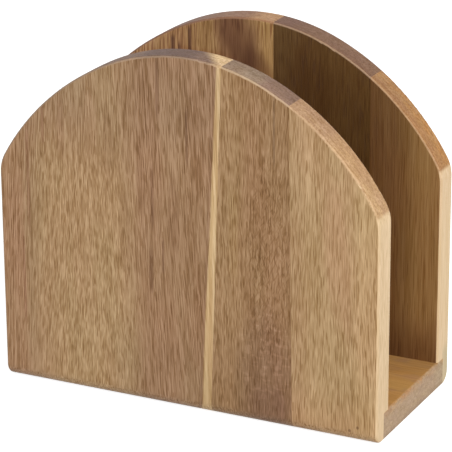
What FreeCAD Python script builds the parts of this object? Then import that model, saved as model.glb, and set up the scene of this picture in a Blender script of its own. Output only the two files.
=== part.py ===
# Upright napkin holder: two arch-topped wooden panels, glued up from upright staves, stand on the long
# edges of a base board that is let into a rabbet along the foot of each panel. Napkins stand on edge in
# the slot between the panels, which is open at both ends and at the top.
#
# Frame: X runs along the panels, Y from the front panel to the back panel, Z is up. The origin is the
# middle of the underside. Millimetres.

import FreeCAD, Part
import Sketcher
import math
import os

V = FreeCAD.Vector

# ---------------------------------------------------------------------------------------- sizes

SIZES = [
    ("panel_width", 150.0, "length of both panels and of the base board"),
    ("panel_height", 132.6, "underside to the crown of the arch"),
    ("panel_thickness", 10.5, "thickness of the staves"),
    ("slot_width", 45.5, "clear gap between the panels, where the napkins stand"),
    ("arch_rise", 48.8, "crown above the corner where side and arch would meet unblended"),
    ("crown_radius", 73.0, "tight middle arc of the arch"),
    ("crown_span", 61.0, "width of the middle arc, where the flatter flanks take over"),
    ("shoulder_radius", 14.0, "blend between flank and upright side"),
    ("base_thickness", 10.5, "thickness of the base board, and height of the rabbets"),
    ("front_cheek", 6.0, "wood left outside the base board on the front panel"),
    ("back_cheek", 5.0, "wood left outside the base board on the back panel"),
    ("bottom_round", 4.6, "rounding of the outer bottom edges"),
    ("edge_ease", 0.9, "easing of every other exposed edge"),
    ("front_seam_left_foot", 10.2, "left seam of the front panel, x at the underside"),
    ("front_seam_left_top", 15.2, "left seam of the front panel, x at crown height"),
    ("front_seam_right_foot", 42.3, "right seam of the front panel, x at the underside"),
    ("front_seam_right_top", 40.7, "right seam of the front panel, x at crown height"),
    ("back_seam_left", 8.5, "left seam of the back panel, x"),
    ("back_seam_right", 47.0, "right seam of the back panel, x"),
]

doc = FreeCAD.newDocument("napkin_holder")
sheet = doc.addObject("Spreadsheet::Sheet", "sizes")
for row, (alias, number, note) in enumerate(SIZES, start=1):
    sheet.set("A%d" % row, alias)
    sheet.set("B%d" % row, str(number))
    sheet.setAlias("B%d" % row, alias)
    sheet.set("C%d" % row, note)
doc.recompute()
size = {alias: float(sheet.get(alias)) for alias, number, note in SIZES}


# ------------------------------------------------------------------------------------- the arch

def arch_points(size):
    """Starting geometry of the right half of the arch, from the driving sizes."""
    half = size["panel_width"] / 2
    crown = V(0, size["panel_height"] - size["crown_radius"], 0)
    run = size["crown_span"] / 2
    join = crown + V(run, math.sqrt(size["crown_radius"] ** 2 - run ** 2), 0)
    normal = (join - crown).normalize()
    corner = V(half, size["panel_height"] - size["arch_rise"], 0)
    chord = corner - join
    flank_radius = -chord.dot(chord) / (2 * chord.dot(normal))
    flank = join - normal * flank_radius
    inset = half - size["shoulder_radius"] - flank.x
    reach = flank_radius - size["shoulder_radius"]
    blend = flank + V(inset, math.sqrt(reach ** 2 - inset ** 2), 0)
    return crown, join, corner, flank, flank_radius, blend


def arc(centre, radius, start, end):
    circle = Part.Circle(centre, V(0, 0, 1), radius)
    return Part.ArcOfCircle(circle, start, end)


def mirrored(point):
    return V(-point.x, point.y, 0)


def constrain(sketch, name, expression, *definition):
    """A dimension of a sketch, bound to the sheet."""
    index = sketch.addConstraint(Sketcher.Constraint(*definition))
    sketch.renameConstraint(index, name)
    sketch.setExpression("Constraints." + name, expression)


def draw_arch(sketch, size):
    """The panel's outline: straight sides, blended shoulders, flatter flanks and a tighter crown."""
    crown, join, corner, flank, flank_radius, blend = arch_points(size)
    half = size["panel_width"] / 2
    tilt = math.atan2(join.y - crown.y, join.x - crown.x)
    turn = math.atan2(blend.y - flank.y, blend.x - flank.x)
    shoulder = size["shoulder_radius"]
    sketch.addGeometry([
        arc(crown, size["crown_radius"], tilt, math.pi - tilt),
        arc(flank, flank_radius, turn, tilt),
        arc(blend, shoulder, 0, turn),
        Part.LineSegment(V(half, blend.y, 0), V(half, 0, 0)),
        Part.LineSegment(V(half, 0, 0), V(-half, 0, 0)),
        Part.LineSegment(V(-half, 0, 0), V(-half, blend.y, 0)),
        arc(mirrored(blend), shoulder, math.pi - turn, math.pi),
        arc(mirrored(flank), flank_radius, math.pi - tilt, math.pi - turn),
    ], False)
    sketch.addGeometry([Part.Point(corner), Part.Point(mirrored(corner))], True)
    crown_arc, right_flank, right_blend, right_side, foot = range(5)
    left_side, left_blend, left_flank, right_corner, left_corner = range(5, 10)
    start, end, centre = 1, 2, 3
    origin, across, upright = -1, -1, -2
    joins = [
        (crown_arc, start, right_flank, end),
        (right_flank, start, right_blend, end),
        (right_blend, start, right_side, start),
        (left_side, end, left_blend, end),
        (left_blend, start, left_flank, end),
        (left_flank, start, crown_arc, end),
    ]
    for first, first_end, second, second_end in joins:
        sketch.addConstraint(Sketcher.Constraint("Tangent", first, first_end, second, second_end))
    sketch.addConstraint([
        Sketcher.Constraint("Coincident", right_side, end, foot, start),
        Sketcher.Constraint("Coincident", foot, end, left_side, start),
        Sketcher.Constraint("Vertical", right_side),
        Sketcher.Constraint("Vertical", left_side),
        Sketcher.Constraint("Symmetric", foot, start, foot, end, upright),
        Sketcher.Constraint("PointOnObject", foot, start, across),
        Sketcher.Constraint("PointOnObject", crown_arc, centre, upright),
        Sketcher.Constraint("PointOnObject", right_corner, start, right_side),
        Sketcher.Constraint("PointOnObject", right_corner, start, right_flank),
        Sketcher.Constraint("Symmetric", right_corner, start, left_corner, start, upright),
        Sketcher.Constraint("PointOnObject", left_corner, start, left_flank),
        Sketcher.Constraint("Equal", right_blend, left_blend),
    ])
    constrain(sketch, "width", "sizes.panel_width", "DistanceX", foot, end, foot, start, 2 * half)
    constrain(sketch, "crown_radius", "sizes.crown_radius", "Radius", crown_arc, size["crown_radius"])
    constrain(sketch, "crown_height", "sizes.panel_height - sizes.crown_radius",
              "DistanceY", origin, start, crown_arc, centre, crown.y)
    constrain(sketch, "crown_right", "sizes.crown_span / 2",
              "DistanceX", origin, start, crown_arc, start, join.x)
    constrain(sketch, "crown_left", "sizes.crown_span / 2",
              "DistanceX", crown_arc, end, origin, start, join.x)
    constrain(sketch, "corner_height", "sizes.panel_height - sizes.arch_rise",
              "DistanceY", origin, start, right_corner, start, corner.y)
    constrain(sketch, "shoulder_radius", "sizes.shoulder_radius", "Radius", right_blend, shoulder)


def draw_rectangle(sketch, low_x, low_y, high_x, high_y):
    """A rectangle with its four sides bound to the sheet. Each side is (value, expression)."""
    low = V(low_x[0], low_y[0], 0)
    high = V(high_x[0], high_y[0], 0)
    corners = [low, V(high.x, low.y, 0), high, V(low.x, high.y, 0)]
    for index in range(4):
        sketch.addGeometry(Part.LineSegment(corners[index], corners[(index + 1) % 4]), False)
    for index in range(4):
        sketch.addConstraint(Sketcher.Constraint("Coincident", index, 2, (index + 1) % 4, 1))
    for index, way in enumerate(["Horizontal", "Vertical", "Horizontal", "Vertical"]):
        sketch.addConstraint(Sketcher.Constraint(way, index))
    places = [
        ("low_x", "DistanceX", 0, 1, low_x),
        ("low_y", "DistanceY", 0, 1, low_y),
        ("high_x", "DistanceX", 2, 1, high_x),
        ("high_y", "DistanceY", 2, 1, high_y),
    ]
    for name, kind, line, end, (number, expression) in places:
        constrain(sketch, name, expression, kind, -1, 1, line, end, number)


# -------------------------------------------------------------------------------------- helpers

def new_sketch(body, role, name):
    sketch = body.newObject("Sketcher::SketchObject", name)
    plane = [item for item in body.Origin.OriginFeatures if item.Role == role][0]
    sketch.AttachmentSupport = [(plane, "")]
    sketch.MapMode = "FlatFace"
    return sketch


def edges_where(feature, test):
    """Names of the feature's edges whose middle point and ends pass the test."""
    names = []
    for number, edge in enumerate(feature.Shape.Edges, start=1):
        middle = edge.valueAt((edge.FirstParameter + edge.LastParameter) / 2)
        points = [middle] + [vertex.Point for vertex in edge.Vertexes]
        if test(points):
            names.append("Edge%d" % number)
    return names


def near(first, second):
    return abs(first - second) < 1e-5


def fillet(body, base, name, edges, expression):
    feature = body.newObject("PartDesign::Fillet", name)
    feature.Base = (base, edges)
    feature.setExpression("Radius", expression)
    return feature


# --------------------------------------------------------------------------------------- panels

def panel_blank(name, cheek, outward):
    """One glued-up panel, shaped before it is told apart into its staves. outward is -1 for the front
    panel and +1 for the back panel."""
    half = size["panel_width"] / 2
    inner = outward * size["slot_width"] / 2
    outer = outward * (size["slot_width"] / 2 + size["panel_thickness"])
    rabbet = outward * (size["slot_width"] / 2 + size["panel_thickness"] - size[cheek])
    sign = "" if outward > 0 else "-"
    body = doc.addObject("PartDesign::Body", name)

    outline = new_sketch(body, "XZ_Plane", name + "_outline")
    draw_arch(outline, size)
    outline.setExpression("AttachmentOffset.Base.z", "-1 * %s sizes.slot_width / 2" % sign)
    board = body.newObject("PartDesign::Pad", name + "_board")
    board.Profile = outline
    board.Type = "Length"
    board.setExpression("Length", "sizes.panel_thickness")
    board.Reversed = outward > 0
    doc.recompute()

    # The rabbet takes the base board. Its sketch starts in the slot and below the foot, so that the cut
    # leaves no skin.
    section = new_sketch(body, "YZ_Plane", name + "_rabbet_section")
    slot_middle = (0.0, "0 mm")
    rabbet_back = (rabbet, "%s(sizes.slot_width / 2 + sizes.panel_thickness - sizes.%s)" % (sign, cheek))
    below = (-size["base_thickness"], "-sizes.base_thickness")
    shelf = (size["base_thickness"], "sizes.base_thickness")
    left, right = (slot_middle, rabbet_back) if outward > 0 else (rabbet_back, slot_middle)
    draw_rectangle(section, left, below, right, shelf)
    rabbet_cut = body.newObject("PartDesign::Pocket", name + "_rabbet")
    rabbet_cut.Profile = section
    rabbet_cut.Type = "ThroughAll"
    rabbet_cut.SideType = "Symmetric"
    doc.recompute()
    removed = board.Shape.Volume - rabbet_cut.Shape.Volume
    expected = abs(rabbet - inner) * size["base_thickness"] * size["panel_width"]
    if abs(removed - expected) > 0.001 * expected:
        raise ValueError("%s: the rabbet took away %.1f, not %.1f" % (name, removed, expected))

    foot_edge = edges_where(rabbet_cut, lambda points: all(
        near(p.z, 0) and near(p.y, outer) for p in points))
    rounded = fillet(body, rabbet_cut, name + "_foot_round", foot_edge, "sizes.bottom_round")
    doc.recompute()

    def exposed(points):
        on_outer = all(near(p.y, outer) for p in points)
        on_inner = all(near(p.y, inner) for p in points)
        at_end = all(near(abs(p.x), half) for p in points)
        across_x = not near(points[0].x, points[1].x)
        low = all(p.z < size["bottom_round"] + 1e-5 for p in points)
        shelf_edge = all(near(p.z, size["base_thickness"]) for p in points)
        beside_rabbet = all(near(p.y, rabbet) for p in points)
        if on_outer or on_inner:
            return not (low or shelf_edge)
        return at_end and low and not across_x and not beside_rabbet

    body.Tip = fillet(body, rounded, name + "_easing", edges_where(rounded, exposed), "sizes.edge_ease")
    doc.recompute()
    return body


def stave(name, blank, left, right, outward):
    """The piece of a panel between two seams. Each seam is (expression at the foot, at the crown)."""
    slab = doc.addObject("Part::Wedge", name + "_slab")
    slab.setExpression("Ymin", "0 mm")
    slab.setExpression("Ymax", "sizes.panel_height")
    slab.setExpression("Xmin", left[0])
    slab.setExpression("X2min", left[1])
    slab.setExpression("Xmax", right[0])
    slab.setExpression("X2max", right[1])
    near_side = "sizes.slot_width / 2"
    far_side = "sizes.slot_width / 2 + sizes.panel_thickness"
    low, high = (near_side, far_side) if outward < 0 else ("-(%s)" % far_side, "-%s" % near_side)
    for limit in ["Zmin", "Z2min"]:
        slab.setExpression(limit, low)
    for limit in ["Zmax", "Z2max"]:
        slab.setExpression(limit, high)
    # The wedge tapers along its own Y, which stands upright here.
    slab.Placement = FreeCAD.Placement(V(0, 0, 0), FreeCAD.Rotation(V(1, 0, 0), 90))
    piece = doc.addObject("Part::Common", name)
    piece.Label = name
    piece.Base = blank
    piece.Tool = slab
    return piece


front_blank = panel_blank("front_panel", "front_cheek", -1)
back_blank = panel_blank("back_panel", "back_cheek", 1)

end_left = ("-sizes.panel_width / 2", "-sizes.panel_width / 2")
end_right = ("sizes.panel_width / 2", "sizes.panel_width / 2")
front_left = ("sizes.front_seam_left_foot", "sizes.front_seam_left_top")
front_right = ("sizes.front_seam_right_foot", "sizes.front_seam_right_top")
back_left = ("sizes.back_seam_left", "sizes.back_seam_left")
back_right = ("sizes.back_seam_right", "sizes.back_seam_right")

pieces = [
    stave("front_left_stave", front_blank, end_left, front_left, -1),
    stave("front_middle_stave", front_blank, front_left, front_right, -1),
    stave("front_right_stave", front_blank, front_right, end_right, -1),
    stave("back_left_stave", back_blank, end_left, back_left, 1),
    stave("back_middle_stave", back_blank, back_left, back_right, 1),
    stave("back_right_stave", back_blank, back_right, end_right, 1),
]


# ----------------------------------------------------------------------------------- base board

def draw_end_easing(sketch):
    """What sanding takes off the top edge of both ends of the base board: a square corner less a
    quarter circle, drawn on both ends."""
    half = size["panel_width"] / 2
    top = size["base_thickness"]
    ease = size["edge_ease"]
    for side in [1, -1]:
        first = sketch.GeometryCount
        corner = V(side * half, top, 0)
        inward = V(side * (half - ease), top, 0)
        down = V(side * half, top - ease, 0)
        centre = V(side * (half - ease), top - ease, 0)
        start, end = (0, math.pi / 2) if side > 0 else (math.pi / 2, math.pi)
        sketch.addGeometry([
            Part.LineSegment(inward, corner),
            Part.LineSegment(corner, down),
            arc(centre, ease, start, end),
        ], False)
        at_top, at_end = (2, 1) if side > 0 else (1, 2)
        sketch.addConstraint([
            Sketcher.Constraint("Coincident", first, 2, first + 1, 1),
            Sketcher.Constraint("Tangent", first, 1, first + 2, at_top),
            Sketcher.Constraint("Tangent", first + 1, 2, first + 2, at_end),
            Sketcher.Constraint("Horizontal", first),
            Sketcher.Constraint("Vertical", first + 1),
        ])
        suffix = "_right" if side > 0 else "_left"
        reach = "sizes.panel_width / 2" if side > 0 else "-sizes.panel_width / 2"
        constrain(sketch, "reach" + suffix, reach, "DistanceX", -1, 1, first, 2, side * half)
        constrain(sketch, "height" + suffix, "sizes.base_thickness", "DistanceY", -1, 1, first, 2, top)
        constrain(sketch, "ease" + suffix, "sizes.edge_ease", "Radius", first + 2, ease)


half_width = size["panel_width"] / 2
half_depth = size["slot_width"] / 2 + size["panel_thickness"]
base = doc.addObject("PartDesign::Body", "base_board")
base.Label = "base_board"
footprint = new_sketch(base, "XY_Plane", "base_footprint")
draw_rectangle(
    footprint,
    (-half_width, "-sizes.panel_width / 2"),
    (-(half_depth - size["front_cheek"]), "-(sizes.slot_width / 2 + sizes.panel_thickness - sizes.front_cheek)"),
    (half_width, "sizes.panel_width / 2"),
    (half_depth - size["back_cheek"], "sizes.slot_width / 2 + sizes.panel_thickness - sizes.back_cheek"),
)
plank = base.newObject("PartDesign::Pad", "base_plank")
plank.Profile = footprint
plank.Type = "Length"
plank.setExpression("Length", "sizes.base_thickness")
doc.recompute()

# The top edge of each end is eased only where it lies open between the panels.
easing = new_sketch(base, "XZ_Plane", "base_end_easing")
draw_end_easing(easing)
eased = base.newObject("PartDesign::Pocket", "base_ends_eased")
eased.Profile = easing
eased.Type = "Length"
eased.SideType = "Symmetric"
eased.setExpression("Length", "sizes.slot_width")
doc.recompute()
sanded = 2 * (1 - math.pi / 4) * size["edge_ease"] ** 2 * size["slot_width"]
removed = plank.Shape.Volume - eased.Shape.Volume
if abs(removed - sanded) > 0.01 * sanded:
    raise ValueError("the end easing took away %.3f, not %.3f" % (removed, sanded))

end_foot = edges_where(eased, lambda points: all(
    near(p.z, 0) and near(abs(p.x), half_width) for p in points))
base.Tip = fillet(base, eased, "base_foot_easing", end_foot, "sizes.edge_ease")
pieces.append(base)


# --------------------------------------------------------------------------------------- output

doc.recompute()
for item in doc.Objects:
    if "Invalid" in item.State or "Error" in item.State:
        raise ValueError("%s is %s" % (item.Name, item.State))
for piece in pieces:
    if piece.Shape.isNull() or not piece.Shape.isValid() or len(piece.Shape.Solids) != 1:
        raise ValueError("%s has no single valid solid" % piece.Label)

os.makedirs("parts", exist_ok=True)
for piece in pieces:
    piece.Shape.exportStep("parts/%s.step" % piece.Label)
    box = piece.Shape.optimalBoundingBox()
    print("%-20s volume %9.1f  x %7.2f %7.2f  y %7.2f %7.2f  z %7.2f %7.2f" % (
        piece.Label, piece.Shape.Volume, box.XMin, box.XMax, box.YMin, box.YMax, box.ZMin, box.ZMax))
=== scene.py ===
"""Looks of the upright wooden napkin holder.

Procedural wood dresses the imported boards, and a pale floor and soft light surround them.
"""

from math import radians

import bpy
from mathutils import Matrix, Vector


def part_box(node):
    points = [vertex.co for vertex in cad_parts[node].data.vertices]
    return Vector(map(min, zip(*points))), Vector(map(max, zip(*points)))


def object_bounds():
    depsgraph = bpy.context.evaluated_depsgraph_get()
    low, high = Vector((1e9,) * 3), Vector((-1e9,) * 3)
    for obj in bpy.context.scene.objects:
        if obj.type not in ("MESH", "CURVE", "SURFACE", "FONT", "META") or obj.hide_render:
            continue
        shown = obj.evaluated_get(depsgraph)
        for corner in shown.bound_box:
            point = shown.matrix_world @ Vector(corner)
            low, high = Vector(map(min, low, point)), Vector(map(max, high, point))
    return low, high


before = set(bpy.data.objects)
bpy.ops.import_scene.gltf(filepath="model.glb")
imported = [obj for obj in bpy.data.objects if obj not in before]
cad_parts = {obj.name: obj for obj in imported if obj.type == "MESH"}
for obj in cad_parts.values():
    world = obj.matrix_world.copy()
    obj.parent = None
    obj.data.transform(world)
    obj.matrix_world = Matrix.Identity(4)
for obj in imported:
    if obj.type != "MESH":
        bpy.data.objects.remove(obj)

cad_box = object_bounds()

MM = 0.001  # a millimetre in Blender's metres
GAMMA = 2.4  # exponent of the display curve

# ---------------------------------------------------------------- node helpers


def srgb(red, green, blue):
    """A colour given as 0 to 255 display values, as linear RGBA."""

    def linear(shown):
        share = shown / 255
        return share / 12.92 if share <= 0.04045 else ((share + 0.055) / 1.055) ** GAMMA

    return (linear(red), linear(green), linear(blue), 1.0)


class Graph:
    """The emptied node tree of a material or a world. Most methods add a node and return its output."""

    def __init__(self, owner):
        owner.use_nodes = True
        self.tree = owner.node_tree
        self.tree.nodes.clear()

    def add(self, kind, **settings):
        """Adds a node and returns it."""
        node = self.tree.nodes.new(kind)
        for key, value in settings.items():
            setattr(node, key, value)
        return node

    def put(self, socket, value):
        """Sets an input to a constant, or links it to an output. None leaves it as it is."""
        if isinstance(value, bpy.types.NodeSocket):
            self.tree.links.new(value, socket)
        elif value is not None:
            socket.default_value = value

    def math(self, operation, a, b=None, clamp=False):
        node = self.add("ShaderNodeMath", operation=operation, use_clamp=clamp)
        self.put(node.inputs[0], a)
        self.put(node.inputs[1], b)
        return node.outputs[0]

    def plus(self, a, b):
        return self.math("ADD", a, b)

    def minus(self, a, b):
        return self.math("SUBTRACT", a, b)

    def times(self, a, b):
        return self.math("MULTIPLY", a, b)

    def over(self, a, b):
        return self.math("DIVIDE", a, b)

    def magnitude(self, value):
        return self.math("ABSOLUTE", value)

    def join(self, x, y, z):
        node = self.add("ShaderNodeCombineXYZ")
        for socket, value in zip(node.inputs, (x, y, z)):
            self.put(socket, value)
        return node.outputs[0]

    def split(self, vector):
        node = self.add("ShaderNodeSeparateXYZ")
        self.put(node.inputs[0], vector)
        return tuple(node.outputs)

    def step(self, value, low, high, to_low=0.0, to_high=1.0):
        """Goes smoothly from to_low to to_high while value goes from low to high."""
        node = self.add("ShaderNodeMapRange", interpolation_type="SMOOTHSTEP")
        for socket, given in zip(node.inputs, (value, low, high, to_low, to_high)):
            self.put(socket, given)
        return node.outputs[0]

    def fall(self, value, low, high):
        """Goes smoothly from 1 to 0 while value goes from low to high."""
        return self.step(value, low, high, 1.0, 0.0)

    def vector(self, operation, a, b):
        node = self.add("ShaderNodeVectorMath", operation=operation)
        self.put(node.inputs[0], a)
        self.put(node.inputs[1], b)
        return node.outputs[0]

    def noise(self, vector, rates, shift, detail=2.0, roughness=0.5, distortion=0.0):
        """Noise from 0 to 1, with this rate of cells per unit along each axis."""
        placed = self.vector("ADD", self.vector("MULTIPLY", vector, rates), shift)
        node = self.add("ShaderNodeTexNoise")
        self.put(node.inputs["Vector"], placed)
        self.put(node.inputs["Scale"], 1.0)
        self.put(node.inputs["Detail"], detail)
        self.put(node.inputs["Roughness"], roughness)
        self.put(node.inputs["Distortion"], distortion)
        return node.outputs["Fac"]

    def noise_line(self, value):
        """Noise from 0 to 1 along a line."""
        node = self.add("ShaderNodeTexNoise", noise_dimensions="1D")
        self.put(node.inputs["W"], value)
        self.put(node.inputs["Scale"], 1.0)
        self.put(node.inputs["Detail"], 1.0)
        return node.outputs["Fac"]

    def swing(self, noise, reach):
        """noise turned into a swing about 0, reach wide in all."""
        return self.times(self.minus(noise, 0.5), reach)

    def blend(self, amount, a, b, kind="MIX"):
        """Colour a, turning into b, or into a times b for kind MULTIPLY, as amount goes to 1."""
        node = self.add("ShaderNodeMix", data_type="RGBA", blend_type=kind)
        self.put(node.inputs["Factor"], amount)
        first, second = (socket for socket in node.inputs if socket.type == "RGBA")
        self.put(first, a)
        self.put(second, b)
        return next(socket for socket in node.outputs if socket.type == "RGBA")

    def tint(self, colour, amount, factors):
        """colour, multiplied channel by channel with three factors where amount is 1."""
        return self.blend(amount, colour, (*factors, 1), "MULTIPLY")

    def shade(self, vector, factor):
        """A vector or a colour, multiplied with one factor."""
        node = self.add("ShaderNodeVectorMath", operation="SCALE")
        self.put(node.inputs[0], vector)
        self.put(node.inputs["Scale"], factor)
        return node.outputs[0]


# ---------------------------------------------------------------- wood

GLOSS_HIDES = (0.94, 1.0, 1.2)  # how much stronger a streak is made in each channel, because gloss veils it


def darkened(colour, green):
    """Factors of a dark streak, which takes the same display step off each channel.

    It leaves this share of the green.
    """
    shown = [channel ** (1 / GAMMA) for channel in colour[:3]]
    taken = shown[1] * (1 - green ** (1 / GAMMA))
    return tuple((1 - taken / channel) ** (GAMMA * hidden) for channel, hidden in zip(shown, GLOSS_HIDES))


class Wood(Graph):
    """One board: zones of colour, then fibre streaks, pores and end grain, all solid through its depth.

    Places are in millimetres of the row frame. across, deep and along are the places across the grain,
    through the thickness and along the grain. Rates are noise cells per millimetre, in that order.
    A zone is a function that takes the wood and a colour and returns the colour with the zone in it.
    """

    # The eased edges turn partly to the edge colour: partly wear, partly a painted highlight where light
    # catches them.
    USUAL = dict(grain="Z", figure_x=0.0, lean=0.0, curl=0.5, mottle=1.0, blotch=0.3, wear_and_sheen=0.5,
                 edge=srgb(214, 184, 148))

    # The share of the green that is left in a dark streak, a pore and a speck of the end grain.
    STREAK = 0.60
    PORE = 0.41
    SPECK = 0.58

    # Slow drifts of hue, on the faces and in the end grain.
    RUDDY = (1.005, 0.982, 0.988, 1.0)
    OLIVE = (0.995, 1.014, 1.00, 1.0)
    ROSY = (0.99, 0.975, 1.01, 1.0)
    AMBER = (1.01, 1.005, 0.97, 1.0)

    # Depths below the face over which the face, and the eased edge, give way to what lies deeper.
    FACE_DEPTH = (0.02, 0.10)
    EASED_DEPTH = (0.36, 0.60)

    # Shares of the normal over which end grain, a narrow side and an edge that doesn't face down begin. The
    # edge colour, partly a painted highlight, leaves out edges that face down.
    END_TURN = (0.24, 0.36)
    SIDE_TURN = (0.60, 0.85)
    UP_TURN = (-0.15, -0.03)
    FOOT_TILT = 0.5  # taken off the downward share at the foot

    WANDER = 2.5  # how far the fibres stray from straight lines
    FIGURE_REACH = 14.0  # how far from the figure's middle the fibres come to their full lean
    FIGURE_HEIGHT = 65.0  # where leaning fibres are in their own place
    CALM_LIVELINESS = 0.40  # strength of the streaks on the sides and in calm zones
    END_CONTRAST = 1.25
    SPECK_AMOUNT = 0.6

    RELIEF_DEPTH = 0.05 * MM
    RELIEF_STRENGTH = 0.4
    FIBRE_RELIEF = 0.4  # against 1 for the pores
    OILED_ROUGHNESS = 0.50
    PORE_ROUGHNESS = 0.66
    END_DULLING = 0.08  # roughness added on end grain
    SPECULAR_LEVEL = 0.35

    def __init__(self, spec):
        self.spec = {**self.USUAL, **spec}
        self.material = bpy.data.materials.new(spec["slot"])
        super().__init__(self.material)
        seed = spec["seed"]
        self.shift = (seed * 7.31, seed * 3.17, seed * 5.93)  # gives each board its own place in the noise
        texture = self.add("ShaderNodeTexCoord")
        x, y, z = self.split(self.shade(texture.outputs["Object"], 1 / MM))
        self.normal = self.split(texture.outputs["Normal"])
        self.across, self.deep, self.along = (y, z, x) if self.spec["grain"] == "X" else (x, y, z)
        self.raw = self.join(self.across, self.deep, self.along)
        self.grain = self.lay_grain()
        self.find_surfaces()
        # Zones may set these: where the streaks are calm, where the figure's fibres take over, a factor on
        # the streaks, and a noise by which the pores crowd.
        self.calm = None
        self.figure = None
        self.boost = None
        self.crowd = self.noise(self.grain, (0.13, 0.13, 0.025), self.shift, detail=1.0)
        self.finish(self.face_colour(), self.end_colour())

    def lay_grain(self):
        """The place in the wood: the fibres wander, curl, and lean towards the middle of the figure."""
        spec = self.spec
        wide = self.noise(self.raw, (0.045, 0.045, 0.011), self.shift, detail=1.0)
        tight = self.noise(self.raw, (0.17, 0.17, 0.055), self.shift, detail=1.0)
        bend = self.plus(self.swing(wide, self.WANDER), self.swing(tight, spec["curl"]))
        side = self.math("TANH", self.over(self.minus(self.across, spec["figure_x"]), self.FIGURE_REACH))
        rise = self.minus(self.along, self.FIGURE_HEIGHT)
        sheared = self.times(self.times(side, spec["lean"]), rise)
        across = self.plus(self.plus(self.across, sheared), bend)
        return self.join(across, self.deep, self.along)

    def find_surfaces(self):
        """Masks of the end grain, of the board's narrow sides and of its eased edges; the edge mask leaves
        out edges that face down, as its colour is partly a painted highlight.
        """
        nx, ny, nz = (self.magnitude(part) for part in self.normal)
        lies_flat = self.spec["grain"] == "X"
        thin_axis = 2 if lies_flat else 1
        low, high = (corner[thin_axis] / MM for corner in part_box(self.spec["node"]))
        off_middle = self.magnitude(self.minus(self.deep, (low + high) / 2))
        sunk = self.minus((high - low) / 2, off_middle)
        off_face = self.step(sunk, *self.FACE_DEPTH)
        on_face = nz if lies_flat else ny
        # What is left of the normal beside the face's share. It stays above 0, because it divides.
        around = self.math("SQRT", self.minus(1.0001, self.times(on_face, on_face)))
        if lies_flat:
            on_side = self.over(ny, around)
            on_end = self.over(nx, around)
        else:
            on_side = self.over(nx, around)
            # At the foot of an upright board, only what lies nearly flat shows end grain.
            foot = self.minus(self.times(self.normal[2], -1.0), self.FOOT_TILT)
            top = self.over(self.math("MAXIMUM", self.normal[2], 0.0), around)
            on_end = self.math("MAXIMUM", top, foot)
        self.end = self.times(self.step(on_end, *self.END_TURN), off_face)
        self.side = self.times(self.step(on_side, *self.SIDE_TURN), off_face)
        eased = self.times(off_face, self.fall(sunk, *self.EASED_DEPTH))
        # Only edges that don't face down take the edge colour, which is partly a painted highlight.
        self.edge = self.times(eased, self.step(self.normal[2], *self.UP_TURN))

    def fibres(self, layers):
        """Noises stretched along the grain, added up. A layer is (weight, rate across, rate along)."""
        total = 0.0
        for weight, across, along in layers:
            layer = self.noise(self.grain, (across, across, along), self.shift, detail=0.0)
            total = self.plus(self.swing(layer, weight), total)
        return total

    def pores(self, share, across, along):
        """1 in short dark dashes that crowd in bands. share from 0 to 1 says how many there are."""
        sparse = 0.70 - 0.10 * share
        crowded = 0.62 - 0.10 * share
        limit = self.step(self.crowd, 0.32, 0.68, sparse, crowded)
        dashes = self.noise(self.grain, (across, across, along), (1.7, 5.1, 3.3), detail=0.0)
        return self.step(self.minus(dashes, limit), 0.0, 0.07)

    def streaked(self, colour, tone, wood_colour):
        """colour with dark streaks where tone is 0 and light ones where it is 1."""
        dark = darkened(wood_colour, self.STREAK)
        light = tuple(2 - factor for factor in dark)
        return self.blend(1.0, colour, self.blend(tone, (*dark, 1), (*light, 1)), "MULTIPLY")

    def face_colour(self):
        """The faces and narrow sides: zones of colour, drifting hue, streaks and pores."""
        spec = self.spec
        colour = spec["zones"](self, spec["colour"])
        if "side" in spec:
            side = spec["side"]
            if "side_zones" in spec:
                side = spec["side_zones"](self, side)
            colour = self.blend(self.side, colour, side)
        calm = self.side if self.calm is None else self.math("MAXIMUM", self.side, self.calm)
        liveliness = self.step(calm, 0.0, 1.0, 1.0, self.CALM_LIVELINESS)
        hue = self.noise(self.grain, (0.10, 0.10, 0.02), (8.0, 2.0, 5.0))
        drift = self.blend(self.step(hue, 0.36, 0.64), self.RUDDY, self.OLIVE)
        colour = self.blend(liveliness, colour, drift, "MULTIPLY")
        tone = self.fibres(spec["fibres"])
        if self.figure is not None:
            instead = self.minus(self.fibres(spec["figure"]), tone)
            tone = self.plus(tone, self.times(instead, self.figure))
        if self.boost is not None:
            tone = self.times(tone, self.boost)
        tone = self.math("ADD", self.times(tone, liveliness), 0.5, clamp=True)
        colour = self.streaked(colour, tone, spec["colour"])
        darkness, share, across, along = spec["pores"]
        self.pore = self.times(self.pores(share, across, along), liveliness)
        return self.tint(colour, self.times(self.pore, darkness), darkened(spec["colour"], self.PORE))

    def end_colour(self):
        """End grain: zones of colour, fine dots, faint growth rings, blotches, drifting hue and specks."""
        spec = self.spec
        colour = spec["end_zones"](self, spec["end"])
        dots = self.noise(self.raw, (1.5, 1.1, 1.2), self.shift, detail=1.0, roughness=0.6)
        rings = self.noise(self.raw, (0.30, 0.9, 0.2), self.shift)
        blotches = self.noise(self.raw, (0.55, 0.75, 0.55), (5.0, 2.0, 9.0), detail=1.0)
        fine = self.plus(self.swing(dots, spec["mottle"]), self.swing(rings, spec["mottle"]))
        tone = self.plus(fine, self.swing(blotches, spec["blotch"]))
        tone = self.plus(self.times(tone, self.END_CONTRAST), 0.5)
        colour = self.streaked(colour, tone, spec["end"])
        hue = self.noise(self.raw, (0.20, 0.45, 0.20), (1.0, 6.0, 3.0))
        drift = self.blend(self.step(hue, 0.38, 0.62), self.ROSY, self.AMBER)
        colour = self.blend(1.0, colour, drift, "MULTIPLY")
        grains = self.noise(self.raw, (1.5, 2.2, 1.2), (3.1, 7.7, 1.9), detail=0.0)
        specks = self.step(grains, 0.62, 0.70, 0.0, self.SPECK_AMOUNT)
        return self.tint(colour, specks, darkened(spec["end"], self.SPECK))

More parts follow.
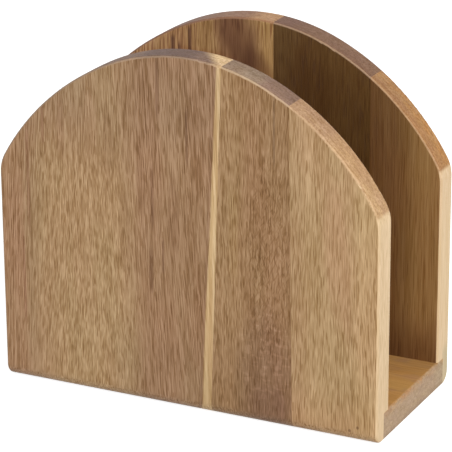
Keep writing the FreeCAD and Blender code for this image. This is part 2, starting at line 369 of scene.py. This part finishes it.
    def finish(self, face, end):
        """The oiled surface: a paler colour on the eased edges, partly wear and partly a painted highlight, a
        slight relief, and gloss that pores and ends dull.
        """
        spec = self.spec
        colour = self.blend(self.end, face, end)
        # Partly wear and partly a painted highlight on the eased edges.
        wear_and_sheen = self.blend(spec["wear_and_sheen"], colour, spec["edge"])
        colour = self.blend(self.edge, colour, wear_and_sheen)
        fibre = self.noise(self.grain, (2.2, 2.2, 0.08), self.shift, detail=1.0)
        bump = self.add("ShaderNodeBump")
        self.put(bump.inputs["Strength"], self.RELIEF_STRENGTH)
        self.put(bump.inputs["Distance"], self.RELIEF_DEPTH)
        self.put(bump.inputs["Height"], self.minus(self.times(fibre, self.FIBRE_RELIEF), self.pore))
        rough = self.step(self.pore, 0.0, 1.0, self.OILED_ROUGHNESS, self.PORE_ROUGHNESS)
        rough = self.plus(rough, self.times(self.end, self.END_DULLING))
        shader = self.add("ShaderNodeBsdfPrincipled")
        self.put(shader.inputs["Base Color"], colour)
        self.put(shader.inputs["Roughness"], rough)
        self.put(shader.inputs["Normal"], bump.outputs[0])
        self.put(shader.inputs["Specular IOR Level"], self.SPECULAR_LEVEL)
        out = self.add("ShaderNodeOutputMaterial")
        self.put(out.inputs["Surface"], shader.outputs[0])


# ---------------------------------------------------------------- masks for the zones

EVEN_WAVE = (0.2, 0.2, 0.03)  # rates of the waver in most edges
FRONT_FACE = cad_box[0][1] / MM
CROWN_HEIGHT = cad_box[1][2] / MM
CROWN_RADIUS = 73.0  # of the middle arc of the panels


def wavering_place(g, waver, rates):
    """The place across the board, off by up to half of waver."""
    wave = g.noise(g.raw, rates, (4.0, 1.0, 9.0), detail=1.0)
    return g.plus(g.across, g.swing(wave, waver))


def right_of(g, limit, soft, waver=1.2, rates=EVEN_WAVE):
    """1 to the right of limit, a number or a socket, and 0 to its left. The edge is soft and wavers."""
    return g.step(g.minus(wavering_place(g, waver, rates), limit), -soft / 2, soft / 2)


def left_of(g, limit, soft, waver=1.2, rates=EVEN_WAVE):
    """1 to the left of limit and 0 to its right, with the same edge as right_of."""
    return g.fall(g.minus(wavering_place(g, waver, rates), limit), -soft / 2, soft / 2)


def between(g, left, right, soft, waver=1.2, rates=EVEN_WAVE):
    """1 between two places across the board, with the same edges as right_of."""
    return g.times(right_of(g, left, soft, waver, rates), left_of(g, right, soft, waver, rates))


def spot(g, x, z, wide, high, slant=0.0, soft=0.6, ragged=1.2, rates=(0.3, 0.3, 0.06)):
    """1 in an oval on the face, wide across and high along the grain, fading to 0 outside it."""
    up = g.minus(g.along, z)
    off = g.over(g.minus(g.minus(g.across, x), g.times(up, slant)), wide / 2)
    up = g.over(up, high / 2)
    wave = g.noise(g.raw, rates, (2.0, 6.0, 4.0))
    reach = g.plus(g.plus(g.times(off, off), g.times(up, up)), g.swing(wave, ragged))
    return g.fall(reach, 1.0 - soft, 1.0 + soft)


def thin_line(g, x, z_low, z_high, wide):
    """1 on a thin line along the grain at x, fading out towards its lowest and highest z."""
    off = g.magnitude(g.minus(g.across, x))
    up = g.magnitude(g.minus(g.along, (z_low + z_high) / 2))
    half = (z_high - z_low) / 2
    return g.times(g.fall(off, wide * 0.3, wide * 0.8), g.fall(up, half * 0.6, half))


def nested_arches(g, x, wide, spacing):
    """Noise in bands that follow arches one above the other, as on a flat-sawn board, about the line x."""
    off = g.over(g.minus(g.across, x), wide)
    wave = g.noise(g.raw, (0.12, 0.12, 0.05), (5.0, 3.0, 1.0), detail=1.0)
    drop = g.plus(g.times(off, off), g.times(wave, 0.9))
    return g.noise_line(g.plus(g.over(g.along, spacing), g.times(drop, 2.0)))


def near_arch(g, reach, soft):
    """1 on the face within reach of the arched edge, fading over soft."""
    up = g.minus(g.along, CROWN_HEIGHT - CROWN_RADIUS)
    out = g.math("SQRT", g.plus(g.times(g.across, g.across), g.times(up, up)))
    return g.step(out, CROWN_RADIUS - reach - soft, CROWN_RADIUS - reach)


def sapwood_limit(g):
    """Where the pale sapwood of the front left board starts. It slants up the board and through it."""
    foot_x, foot_z = 6.75, 1.2
    top_x, top_z = 13.35, 128.7
    lean_up = (top_x - foot_x) / (top_z - foot_z)
    lean_through = 0.80
    on_face = g.plus(g.times(g.along, lean_up), foot_x - foot_z * lean_up)
    return g.minus(on_face, g.times(g.minus(g.deep, FRONT_FACE), lean_through))


# ---------------------------------------------------------------- zones of colour on the front panel

# Lines on the front left board: x, lowest z, highest z, width.
RED_LINES = ((-63.2, 56, 104, 1.1), (-66.0, 20, 62, 1.0), (-56.5, 92, 112, 0.9))
DARK_LINES = ((-9.8, 108, 134, 1.2), (-12.4, 66, 94, 1.0), (-13.2, 42, 62, 1.3), (-8.4, 50, 66, 0.8),
              (1.5, 92, 116, 1.0))

# Dusky streaks on the same board: x, z, width, height.
DUSKY_STREAKS = ((-23.6, 64, 4.0, 36), (-4.0, 72, 4.5, 30), (-30.0, 96, 5.0, 30), (-17.0, 88, 3.5, 26),
                 (-49.0, 100, 3.0, 26))


def front_left_zones(g, colour):
    """Gold with a nested figure in the middle, red at the left rim, brown beside the sapwood."""
    gold = between(g, -60.0, -22.0, 18.0, 9.0, (0.10, 0.10, 0.018))
    gold = g.times(gold, g.step(g.along, 78.0, 106.0, 1.0, 0.35))
    colour = g.tint(colour, gold, (1.23, 1.30, 1.24))
    colour = g.tint(colour, left_of(g, -65.5, 5.0), (1.05, 0.99, 0.99))
    colour = g.tint(colour, right_of(g, -18.0, 10.0, 5.0), (0.97, 0.927, 0.915))
    top = g.step(g.along, 92.0, 112.0)
    colour = g.tint(colour, top, (0.91, 0.92, 0.94))
    colour = g.tint(colour, g.times(top, between(g, -38.0, -20.0, 10.0)), (1.06, 1.055, 1.03))
    for line in RED_LINES:
        colour = g.tint(colour, thin_line(g, *line), (0.88, 0.80, 0.80))
    for line in DARK_LINES:
        colour = g.tint(colour, thin_line(g, *line), (0.69, 0.62, 0.57))
    for streak in DUSKY_STREAKS:
        dusky = spot(g, *streak, soft=0.9, ragged=1.6, rates=(0.7, 0.7, 0.06))
        colour = g.tint(colour, dusky, (0.90, 0.86, 0.84))
    low = g.times(right_of(g, -29.0, 14.0), g.fall(g.along, 12.0, 38.0))
    colour = g.tint(colour, low, (0.95, 0.97, 0.98))
    g.figure = g.times(gold, 0.9)
    g.boost = g.step(g.along, 70.0, 105.0, 0.95, 1.30)
    arches = nested_arches(g, -38.0, 13.0, 9.0)
    g.crowd = g.plus(g.crowd, g.swing(arches, gold))
    return front_left_sapwood(g, colour)


def front_left_sapwood(g, colour):
    """A cream stripe along the right edge, with veins and a dark line where it starts."""
    limit = sapwood_limit(g)
    off_line = g.magnitude(g.minus(g.across, g.minus(limit, 0.7)))
    colour = g.tint(colour, g.step(off_line, 0.2, 1.1, 0.7, 0.0), (0.84, 0.80, 0.80))
    pale = right_of(g, limit, 1.1)
    g.calm = pale
    vein = g.noise(g.raw, (1.3, 1.3, 0.02), (3.0, 7.0, 2.0))
    cream = g.blend(g.step(vein, 0.40, 0.60), srgb(193, 158, 112), srgb(211, 180, 137))
    cream = g.tint(cream, left_of(g, g.plus(limit, 1.8), 1.6), (1.00, 0.985, 0.94))
    dimmed = g.times(g.step(g.along, 8.0, 40.0, 0.93, 1.03), g.step(g.along, 84.0, 116.0, 1.0, 0.93))
    return g.blend(pale, colour, g.shade(cream, dimmed))


def front_left_end_zones(g, colour):
    """Purplish beside the sapwood, which is cream here too."""
    colour = g.tint(colour, between(g, -17.0, 4.0, 6.0), (0.71, 0.68, 0.72))
    sapwood = right_of(g, sapwood_limit(g), 6.0, rates=(0.3, 0.3, 0.3))
    return g.blend(sapwood, colour, srgb(218, 184, 138))


def front_middle_zones(g, colour):
    """Darker to the right and at the foot, with a curly stripe and a pale cross figure low down."""
    colour = g.tint(colour, right_of(g, 24.0, 9.0, 3.0), (0.97, 0.93, 0.96))
    colour = g.tint(colour, g.fall(g.along, 10.0, 50.0), (0.88, 0.86, 0.84))
    colour = g.tint(colour, spot(g, 32.0, 13.0, 22.0, 56.0, soft=0.9), (0.82, 0.78, 0.83))
    colour = g.tint(colour, thin_line(g, 35.2, 96, 126, 0.7), (0.72, 0.70, 0.70))
    colour = g.tint(colour, thin_line(g, 19.5, 50, 90, 3.0), (1.08, 1.12, 1.10))
    curly = spot(g, 33.0, 62.0, 17.0, 74.0, ragged=1.5)
    for lean in (-0.45, 0.35):
        leaning = g.join(g.plus(g.across, g.times(g.along, lean)), g.deep, g.along)
        dashes = g.noise(leaning, (1.5, 1.5, 0.40), (2.0, 9.0, 4.0), detail=0.0)
        colour = g.tint(colour, g.times(g.step(dashes, 0.56, 0.68), curly), (0.80, 0.74, 0.63))
    colour = g.tint(colour, spot(g, 34.0, 8.0, 15.0, 14.0, soft=0.8), (0.86, 0.82, 0.84))
    cross = g.noise(g.raw, (0.30, 0.30, 0.55), (6.0, 1.0, 3.0), detail=1.0, distortion=0.4)
    crossed = g.times(g.step(cross, 0.52, 0.64), spot(g, 32.0, 26.0, 20.0, 36.0, ragged=1.5))
    return g.tint(colour, crossed, (1.22, 1.27, 1.40))


def front_half(g, colour, factors):
    """Tints the part of a front board's end grain that lies nearer to the front face."""
    wave = g.noise(g.raw, (0.15, 0.15, 0.15), (6.0, 2.0, 8.0))
    place = g.plus(g.deep, g.swing(wave, 7.0))
    return g.tint(colour, g.fall(place, -31.0, -27.0), factors)


def front_middle_end_zones(g, colour):
    """Grey to the left and purple to the right."""
    colour = front_half(g, colour, (1.16, 1.17, 1.18))
    colour = g.tint(colour, between(g, 22.5, 29.5, 4.0), (1.06, 1.11, 1.17))
    return g.tint(colour, right_of(g, 29.0, 5.0), (0.88, 0.79, 0.86))


def front_right_zones(g, colour):
    """Paler to the right, with two faint clouds and two pinholes near the foot."""
    colour = g.tint(colour, left_of(g, 46.0, 7.0), (0.95, 0.94, 0.95))
    colour = g.tint(colour, right_of(g, 66.0, 6.0), (1.07, 1.08, 1.06))
    colour = g.tint(colour, spot(g, 59.0, 68.0, 9.0, 60.0, slant=-0.10), (0.98, 0.94, 0.95))
    colour = g.tint(colour, spot(g, 60.0, 26.0, 14.0, 34.0), (1.01, 1.03, 1.03))
    colour = g.tint(colour, g.fall(g.along, 3.0, 22.0), (0.98, 0.93, 0.90))
    for x, z in ((67.6, 5.9), (64.6, 4.3)):
        colour = g.tint(colour, spot(g, x, z, 1.0, 1.2, ragged=0.3), (0.52, 0.46, 0.42))
    return colour


def front_right_end_zones(g, colour):
    """Paler in the half nearer the front face, a painted highlight that widens the eased front edge's pale
    band, and paler towards the right shoulder.
    """
    # Painted highlight: the half nearer the front face is made paler, widening the eased front edge's pale
    # band.
    colour = front_half(g, colour, (1.10, 1.13, 1.14))
    colour = g.tint(colour, right_of(g, 56.0, 10.0), (1.10, 1.10, 0.99))
    return g.tint(colour, right_of(g, 67.0, 3.0), (1.02, 1.05, 1.08))


# ---------------------------------------------------------------- zones of colour on the back panel


def back_left_zones(g, colour):
    """Gold bands, dark flames and drips that hang from the arch, and two dark clouds."""
    colour = g.tint(colour, between(g, -50.0, -12.0, 12.0, 4.0), (1.05, 1.05, 1.05))
    colour = g.tint(colour, left_of(g, -27.0, 8.0, 4.0), (1.17, 1.19, 1.23))
    colour = g.tint(colour, between(g, -26.0, -14.0, 10.0, 4.0), (1.10, 1.16, 1.08))
    colour = g.tint(colour, between(g, -15.0, -8.0, 8.0, 4.0), (0.88, 0.84, 0.85))
    flames = g.noise(g.grain, (0.55, 0.55, 0.06), (4.0, 8.0, 2.0), roughness=0.65)
    flames = g.times(g.step(flames, 0.48, 0.66, 0.0, 0.8), between(g, -60.0, -17.0, 10.0, 5.0))
    colour = g.tint(colour, g.times(flames, near_arch(g, 5.0, 12.0)), (0.66, 0.55, 0.49))
    drips = g.noise(g.grain, (1.5, 1.5, 0.08), (9.0, 3.0, 7.0), detail=1.0)
    drips = g.times(g.step(drips, 0.50, 0.62), near_arch(g, 3.0, 8.0))
    colour = g.tint(colour, drips, (0.60, 0.48, 0.42))
    for line in ((-32.6, 108, 124, 1.5), (-25.6, 112, 128, 1.2), (-30.0, 104, 122, 1.0)):
        colour = g.tint(colour, thin_line(g, *line), (0.42, 0.33, 0.34))
    high_cloud = spot(g, -6.0, 124.0, 15.0, 26.0, slant=-0.40, soft=0.95)
    low_cloud = spot(g, 3.0, 110.0, 14.0, 24.0, slant=-0.50, soft=0.95)
    colour = g.tint(colour, high_cloud, (0.55, 0.46, 0.46))
    colour = g.tint(colour, low_cloud, (0.56, 0.47, 0.45))
    clouded = g.times(g.math("MAXIMUM", high_cloud, low_cloud), 0.9)
    g.calm = g.math("MAXIMUM", clouded, g.times(right_of(g, 4.0, 5.0), 0.6))
    # Partly painted shade: a dark reddish band low on the face, just above the front panel's arch, where the
    # slot shades it; the wood darkens there too.
    colour = g.tint(colour, spot(g, -22.0, 112.5, 40.0, 12.0, slant=0.20, ragged=1.6), (0.82, 0.70, 0.66))
    return g.tint(colour, right_of(g, 2.5, 5.0, 2.0), (1.27, 1.36, 1.24))


def back_left_end_zones(g, colour):
    """Paler and more orange towards the seam."""
    colour = g.tint(colour, right_of(g, -18.0, 18.0), (1.28, 1.26, 1.16))
    return g.tint(colour, right_of(g, -1.0, 8.0), (1.58, 1.68, 1.38))


def back_middle_zones(g, colour):
    """A dark board, a little greyer at its left and along the arch."""
    colour = g.tint(colour, left_of(g, 19.0, 12.0, 4.0), (1.12, 1.18, 1.45))
    colour = g.tint(colour, spot(g, 22.0, 101.0, 20.0, 44.0, soft=0.9), (0.90, 0.84, 0.78))
    return g.tint(colour, near_arch(g, 1.0, 14.0), (1.14, 1.17, 1.18))


def back_middle_end_zones(g, colour):
    """Greyer to the left, and darker beside the slot."""
    colour = g.tint(colour, left_of(g, 17.0, 8.0), (0.88, 0.84, 0.94))
    return g.tint(colour, g.fall(g.deep, 25.0, 28.0), (0.94, 0.90, 0.86))


def back_right_zones(g, colour):
    """Paler and golden towards its right edge, darker to its left and up high, and dark at the foot: painted
    light from the open end of the slot, and painted shade in the corner with the base.
    """
    # Painted light: paler towards the open end of the slot, darker further in and up high.
    colour = g.tint(colour, right_of(g, 62.0, 14.0, 3.0), (1.66, 1.90, 1.96))
    colour = g.tint(colour, left_of(g, 52.0, 8.0, 3.0), (0.84, 0.80, 0.76))
    colour = g.tint(colour, g.step(g.along, 78.0, 100.0), (0.93, 0.95, 0.96))
    # Painted shade at the foot, in the corner with the base board.
    return g.tint(colour, g.fall(g.along, 12.0, 34.0), (0.58, 0.50, 0.47))


def back_right_side_zones(g, colour):
    """The narrow side turns grey-green along its outer edge, most of all near the foot: a painted shade with
    a cool painted reflection, where the rounded outer edge turns away from the light.
    """
    # Painted shade and cool painted reflection along the outer edge and near the foot.
    colour = g.tint(colour, g.step(g.deep, 30.5, 32.5), (0.95, 0.985, 0.99))
    colour = g.tint(colour, g.step(g.along, 50.0, 85.0), (0.97, 0.96, 0.97))
    low = g.times(g.fall(g.along, 8.0, 26.0), g.step(g.deep, 27.5, 30.5))
    colour = g.tint(colour, low, (0.95, 0.985, 0.99))
    foot = g.times(g.fall(g.along, 12.0, 17.0), g.step(g.deep, 27.0, 28.0))
    return g.tint(colour, foot, (0.82, 0.87, 0.88))


def back_right_end_zones(g, colour):
    """Golden in patches towards the outer edge, and pinkish brown near the slot."""
    colour = g.tint(colour, right_of(g, 60.0, 12.0), (1.12, 1.10, 0.96))
    colour = g.tint(colour, g.fall(g.deep, 25.0, 28.5), (0.92, 0.86, 0.86))
    patches = g.noise(g.raw, (0.25, 0.5, 0.25), (7.0, 4.0, 2.0))
    outer = g.times(g.step(patches, 0.42, 0.60), g.step(g.deep, 26.5, 30.0))
    return g.tint(colour, outer, (1.08, 0.98, 0.78))


# ---------------------------------------------------------------- zones of colour on the base board


def base_zones(g, colour):
    """The base darkens towards the back panel, and has broad golden and pinkish clouds."""
    cloud = g.noise(g.raw, (0.22, 0.22, 0.10), (4.0, 1.0, 6.0))
    colour = g.tint(colour, g.step(cloud, 0.44, 0.58), (1.07, 1.04, 0.90))
    colour = g.tint(colour, g.fall(cloud, 0.38, 0.50), (0.96, 0.92, 1.04))
    return g.tint(colour, g.step(g.across, 4.0, 23.0), (0.79, 0.81, 0.84))


def base_end_zones(g, colour):
    """The end grain turns golden towards the top, and greener beside the back panel; its darkening at the
    bottom is a painted shade next to the floor.
    """
    colour = g.tint(colour, g.step(g.deep, 6.5, 10.0), (1.00, 0.95, 0.88))
    patches = g.noise(g.raw, (0.30, 0.60, 0.30), (7.0, 4.0, 2.0))
    golden = g.times(g.step(patches, 0.44, 0.58), g.step(g.deep, 7.6, 9.8))
    colour = g.tint(colour, golden, (1.06, 0.90, 0.68))
    # Painted shade along the bottom, next to the floor.
    colour = g.tint(colour, g.fall(g.deep, 0.6, 3.0), (0.80, 0.79, 0.79))
    return g.tint(colour, g.step(g.across, 18.0, 27.0), (1.00, 1.05, 1.04))


# ---------------------------------------------------------------- the boards

# colour, end, side: of the faces, the end grain and the narrow upright side.
# wear_and_sheen, edge: how far the eased edges turn to the edge colour, and that colour; it is partly wear
# and partly a painted highlight.
# figure_x, lean, curl: the middle of the figure, how much the fibres lean towards it, how much they curl.
# fibres, figure: layers of streaks, each (weight, rate across, rate along), and those inside the figure.
# pores: (darkness, share, rate across, rate along).
# mottle, blotch: strength of the fine and the broad pattern in the end grain.
BOARDS = {
    "front_left_stave": dict(
        slot="front_left_wood", seed=1,
        colour=srgb(160, 126, 92), end=srgb(129, 101, 83), wear_and_sheen=0.3,
        zones=front_left_zones, end_zones=front_left_end_zones,
        figure_x=-36.0, lean=0.05,
        fibres=((1.5, 3.3, 0.13), (0.9, 2.5, 0.04), (0.35, 0.55, 0.03), (0.35, 0.2, 0.014)),
        figure=((1.4, 2.9, 0.34), (0.9, 2.2, 0.14), (0.8, 0.55, 0.08)),
        pores=(0.60, 0.95, 3.2, 0.19),
    ),
    "front_middle_stave": dict(
        slot="front_middle_wood", seed=2,
        colour=srgb(158, 124, 85), end=srgb(137, 112, 88),
        zones=front_middle_zones, end_zones=front_middle_end_zones,
        figure_x=30.0, lean=-0.03, curl=0.8,
        fibres=((1.6, 3.2, 0.26), (0.8, 2.4, 0.05), (0.4, 0.6, 0.09), (0.4, 0.2, 0.014)),
        pores=(0.6, 0.8, 2.6, 0.20),
    ),
    "front_right_stave": dict(
        slot="front_right_wood", seed=3,
        colour=srgb(180, 146, 105), end=srgb(170, 133, 98), side=srgb(214, 185, 144), wear_and_sheen=0.3,
        zones=front_right_zones, end_zones=front_right_end_zones,
        figure_x=52.0, lean=0.04,
        fibres=((1.15, 3.8, 0.22), (0.45, 2.6, 0.06), (0.45, 0.5, 0.04), (0.6, 0.2, 0.014)),
        pores=(0.60, 0.85, 3.2, 0.16),
    ),
    "back_left_stave": dict(
        slot="back_left_wood", seed=4,
        colour=srgb(160, 122, 82), end=srgb(132, 98, 78), edge=srgb(140, 98, 72),
        zones=back_left_zones, end_zones=back_left_end_zones,
        fibres=((0.9, 3.2, 0.18), (0.6, 2.0, 0.06), (0.5, 0.5, 0.04)),
        pores=(0.6, 1.2, 2.6, 0.14),
    ),
    "back_middle_stave": dict(
        slot="back_middle_wood", seed=5,
        colour=srgb(84, 56, 22), end=srgb(125, 92, 69), wear_and_sheen=0.3,
        zones=back_middle_zones, end_zones=back_middle_end_zones,
        fibres=((1.4, 2.6, 0.14), (0.6, 1.6, 0.03), (0.5, 0.2, 0.014)),
        pores=(0.5, 0.4, 2.2, 0.12),
    ),
    "back_right_stave": dict(
        slot="back_right_wood", seed=6,
        colour=srgb(120, 83, 46), end=srgb(160, 119, 76), side=srgb(215, 185, 143), wear_and_sheen=0.25,
        zones=back_right_zones, end_zones=back_right_end_zones, side_zones=back_right_side_zones,
        fibres=((0.8, 3.4, 0.10), (0.8, 1.8, 0.02), (0.35, 0.25, 0.012)),
        pores=(0.45, 0.6, 2.6, 0.10),
    ),
    "base_board": dict(
        slot="base_wood", seed=7, grain="X",
        colour=srgb(188, 142, 86), end=srgb(168, 141, 111), edge=srgb(205, 152, 92), wear_and_sheen=0.15,
        zones=base_zones, end_zones=base_end_zones,
        fibres=((0.3, 2.4, 0.10), (0.3, 1.2, 0.04), (0.35, 0.3, 0.02)),
        pores=(0.2, 0.3, 2.2, 0.10),
        mottle=0.5, blotch=0.5,
    ),
}

for node_name, spec in BOARDS.items():
    wood = Wood({"node": node_name, **spec}).material
    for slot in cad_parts[node_name].material_slots:
        slot.material = wood

# ---------------------------------------------------------------- floor, room, lights and camera

WHITE = (1.0, 1.0, 1.0, 1.0)
FLOOR_GREY = (0.60, 0.60, 0.60, 1.0)
FLOOR_GLOW = 0.80  # added where the camera sees the floor, so that it looks white but keeps the shadow
FLOOR_HALF = 3.0
FLOOR_LEVEL = -0.05 * MM  # just clear of the undersides of the boards
ROOM_LIGHT = 0.45

SUBJECT = (0.0, 0.0, 0.06)
KEY_PLACE = (1.30, -0.80, 0.95)
FILL_PLACE = (-0.90, -1.30, 0.90)

IMAGE_WIDTH = 452  # pixels
FOCAL_LENGTH = 2627.8  # pixels
SHIFT_RIGHT = -0.30  # pixels
SHIFT_UP = 0.35  # pixels
SENSOR_WIDTH = 36.0  # millimetres
CAMERA_PLACE = (401.95, -807.51, 384.94)  # millimetres
CAMERA_ANGLES = (70.1747, 0.3541, 26.3198)  # tilt, roll and heading, in degrees about X, Y and Z


def ray_seen(g):
    """1 for what the camera sees, straight or in a reflection."""
    path = g.add("ShaderNodeLightPath")
    seen = g.math("ADD", path.outputs["Is Camera Ray"], path.outputs["Is Glossy Ray"], clamp=True)
    return g.math("ADD", seen, path.outputs["Is Transmission Ray"], clamp=True)


def pale_floor():
    """A square that looks white and takes a soft shadow."""
    look = bpy.data.materials.new("pale_floor")
    g = Graph(look)
    plain = g.add("ShaderNodeBsdfDiffuse")
    g.put(plain.inputs["Color"], FLOOR_GREY)
    glow = g.add("ShaderNodeEmission")
    g.put(glow.inputs["Strength"], g.times(ray_seen(g), FLOOR_GLOW))
    both = g.add("ShaderNodeAddShader")
    g.put(both.inputs[0], plain.outputs[0])
    g.put(both.inputs[1], glow.outputs[0])
    out = g.add("ShaderNodeOutputMaterial")
    g.put(out.inputs["Surface"], both.outputs[0])
    mesh = bpy.data.meshes.new("floor")
    signs = ((-1, -1), (1, -1), (1, 1), (-1, 1))
    corners = [(x * FLOOR_HALF, y * FLOOR_HALF, FLOOR_LEVEL) for x, y in signs]
    mesh.from_pydata(corners, [], [(0, 1, 2, 3)])
    mesh.materials.append(look)
    floor = bpy.data.objects.new("floor", mesh)
    bpy.context.scene.collection.objects.link(floor)


def white_room():
    """A world that looks white and lights the object plainly."""
    world = bpy.data.worlds.new("studio")
    bpy.context.scene.world = world
    g = Graph(world)
    choose = g.add("ShaderNodeMixShader")
    g.put(choose.inputs[0], ray_seen(g))
    for socket, strength in ((choose.inputs[1], ROOM_LIGHT), (choose.inputs[2], 1.0)):
        shader = g.add("ShaderNodeBackground")
        g.put(shader.inputs["Color"], WHITE)
        g.put(shader.inputs["Strength"], strength)
        g.put(socket, shader.outputs[0])
    out = g.add("ShaderNodeOutputWorld")
    g.put(out.inputs["Surface"], choose.outputs[0])


def softbox(name, place, size, power):
    """A square area light at place, facing the object."""
    light = bpy.data.lights.new(name, "AREA")
    light.shape = "SQUARE"
    light.size = size
    light.energy = power
    lamp = bpy.data.objects.new(name, light)
    lamp.location = place
    lamp.rotation_euler = (Vector(SUBJECT) - Vector(place)).to_track_quat("-Z", "Y").to_euler()
    bpy.context.scene.collection.objects.link(lamp)


def photo_camera():
    """The camera at the photograph's viewing angle."""
    data = bpy.data.cameras.new("camera")
    data.sensor_width = SENSOR_WIDTH
    data.lens = FOCAL_LENGTH / IMAGE_WIDTH * SENSOR_WIDTH
    data.shift_x = SHIFT_RIGHT / IMAGE_WIDTH
    data.shift_y = SHIFT_UP / IMAGE_WIDTH
    data.clip_start = 0.05
    data.clip_end = 20.0
    camera = bpy.data.objects.new("camera", data)
    camera.location = Vector(CAMERA_PLACE) * MM
    camera.rotation_euler = [radians(angle) for angle in CAMERA_ANGLES]
    bpy.context.scene.collection.objects.link(camera)
    bpy.context.scene.camera = camera


pale_floor()
white_room()
softbox("key", KEY_PLACE, size=0.8, power=24.0)
softbox("fill", FILL_PLACE, size=1.2, power=5.38)
photo_camera()
bpy.context.scene.view_settings.view_transform = "Standard"
